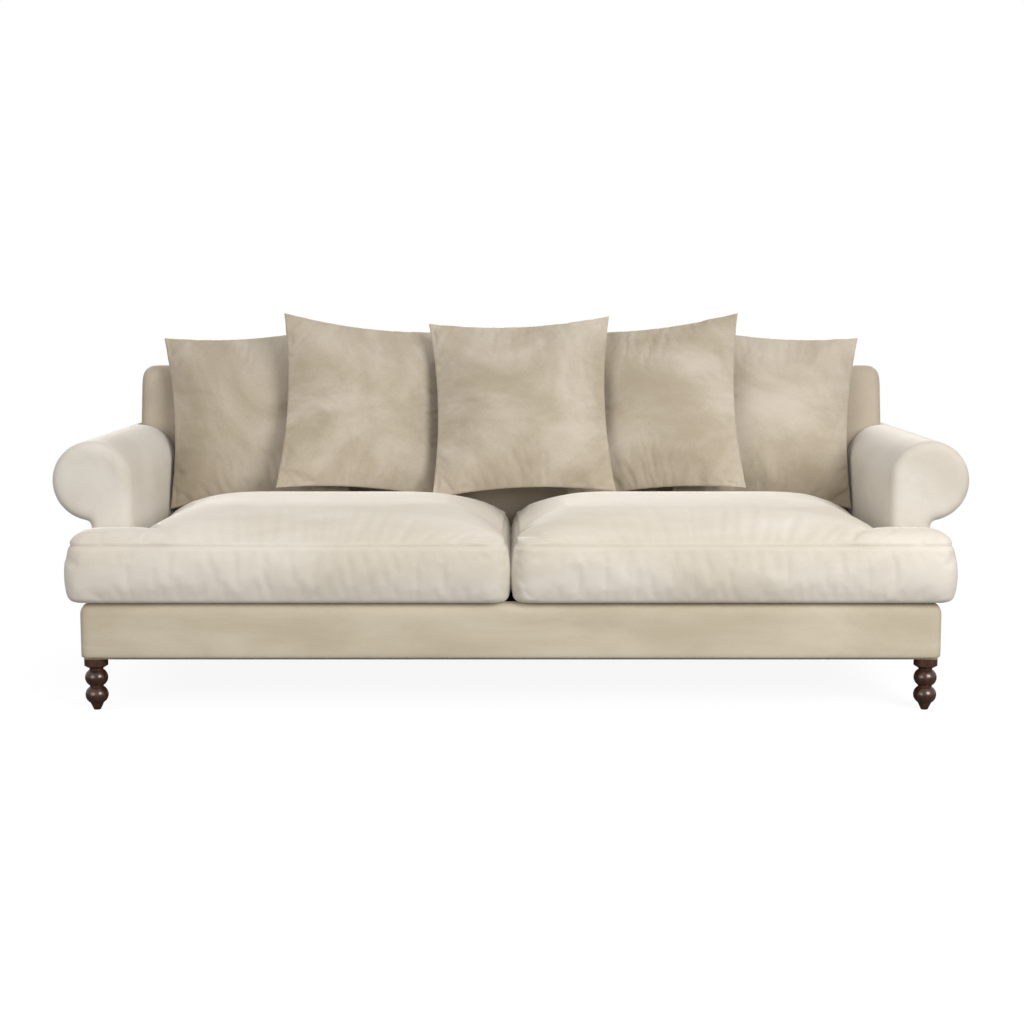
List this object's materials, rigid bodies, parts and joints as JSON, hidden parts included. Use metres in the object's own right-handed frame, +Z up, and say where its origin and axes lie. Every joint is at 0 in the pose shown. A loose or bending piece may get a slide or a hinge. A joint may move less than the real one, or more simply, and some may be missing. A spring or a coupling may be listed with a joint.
{
  "type": "upholstered sofa",
  "caption": "Rolled-arm velvet sofa with loose T-shaped seat cushions, leaning scatter cushions, a raked upholstered back, a plain plinth base and turned wooden feet.",
  "frame": {"origin": "on the floor, at the middle of the sofa's footprint", "axes": "+X towards the sitter's right as seen from the front, +Y from front to back, +Z up"},
  "size_m": [2.4638, 1.03, 1.0374],
  "materials": {
    "velvet": "short-pile velvet",
    "dark_cloth": "plain woven lining cloth",
    "stuffing": "foam wrapped in wadding",
    "webbing": "woven elastic webbing",
    "turned_wood": "teak-coloured gloss lacquer",
    "frame_wood": "planed hardwood, unfinished",
    "plated_steel": "zinc plated"
  },
  "bodies": {
    "frame": {"back_cover": "velvet", "back_foot_rail": "frame_wood", "back_knee_rail": "frame_wood", "back_top_rail": "frame_wood", "back_uprights": "frame_wood", "back_webs": "webbing", "base_cover": "velvet", "coach_bolts": "plated_steel", "deck_pad": "stuffing", "dust_cover": "dark_cloth", "foot_bolts": "plated_steel", "frame_dowels": "frame_wood", "front_left_foot": "turned_wood", "front_rail": "frame_wood", "front_right_foot": "turned_wood", "left_arm_cover": "velvet", "left_arm_foot_rail": "frame_wood", "left_arm_tacking_rail": "frame_wood", "left_arm_top_rail": "frame_wood", "left_back_post": "frame_wood", "left_front_scroll_board": "frame_wood", "left_outside_arm": "velvet", "left_rear_scroll_board": "frame_wood", "left_side_rail": "frame_wood", "leg_blocks": "frame_wood", "outside_back": "velvet", "platform_cloth": "dark_cloth", "rear_left_foot": "turned_wood", "rear_rail": "frame_wood", "rear_right_foot": "turned_wood", "right_arm_cover": "velvet", "right_arm_foot_rail": "frame_wood", "right_arm_tacking_rail": "frame_wood", "right_arm_top_rail": "frame_wood", "right_back_post": "frame_wood", "right_front_scroll_board": "frame_wood", "right_outside_arm": "velvet", "right_rear_scroll_board": "frame_wood", "right_side_rail": "frame_wood", "seat_stretchers": "frame_wood", "seat_webs": "webbing", "tee_nuts": "plated_steel"},
    "left_seat": {"left_seat_cover": "velvet", "left_seat_core": "stuffing"},
    "right_seat": {"right_seat_cover": "velvet", "right_seat_core": "stuffing"},
    "far_left_scatter": {"far_left_scatter_cover": "velvet", "far_left_scatter_insert": "stuffing"},
    "left_scatter": {"left_scatter_cover": "velvet", "left_scatter_insert": "stuffing"},
    "middle_scatter": {"middle_scatter_cover": "velvet", "middle_scatter_insert": "stuffing"},
    "right_scatter": {"right_scatter_cover": "velvet", "right_scatter_insert": "stuffing"},
    "far_right_scatter": {"far_right_scatter_cover": "velvet", "far_right_scatter_insert": "stuffing"}
  },
  "joints": [
    {"name": "left_seat_pull", "type": "slide", "parent": "frame", "child": "left_seat", "axis": [0, -1, 0], "range_m": [0, 0.75]},
    {"name": "right_seat_pull", "type": "slide", "parent": "frame", "child": "right_seat", "axis": [0, -1, 0], "range_m": [0, 0.75]},
    {"name": "far_left_scatter_lift", "type": "slide", "parent": "frame", "child": "far_left_scatter", "axis": [0, 0.3256, 0.9455], "range_m": [0, 0.45]},
    {"name": "left_scatter_lift", "type": "slide", "parent": "frame", "child": "left_scatter", "axis": [0, 0.3256, 0.9455], "range_m": [0, 0.45]},
    {"name": "middle_scatter_lift", "type": "slide", "parent": "frame", "child": "middle_scatter", "axis": [0, 0.3256, 0.9455], "range_m": [0, 0.45]},
    {"name": "right_scatter_lift", "type": "slide", "parent": "frame", "child": "right_scatter", "axis": [0, 0.3256, 0.9455], "range_m": [0, 0.45]},
    {"name": "far_right_scatter_lift", "type": "slide", "parent": "frame", "child": "far_right_scatter", "axis": [0, 0.3256, 0.9455], "range_m": [0, 0.45]}
  ]
}
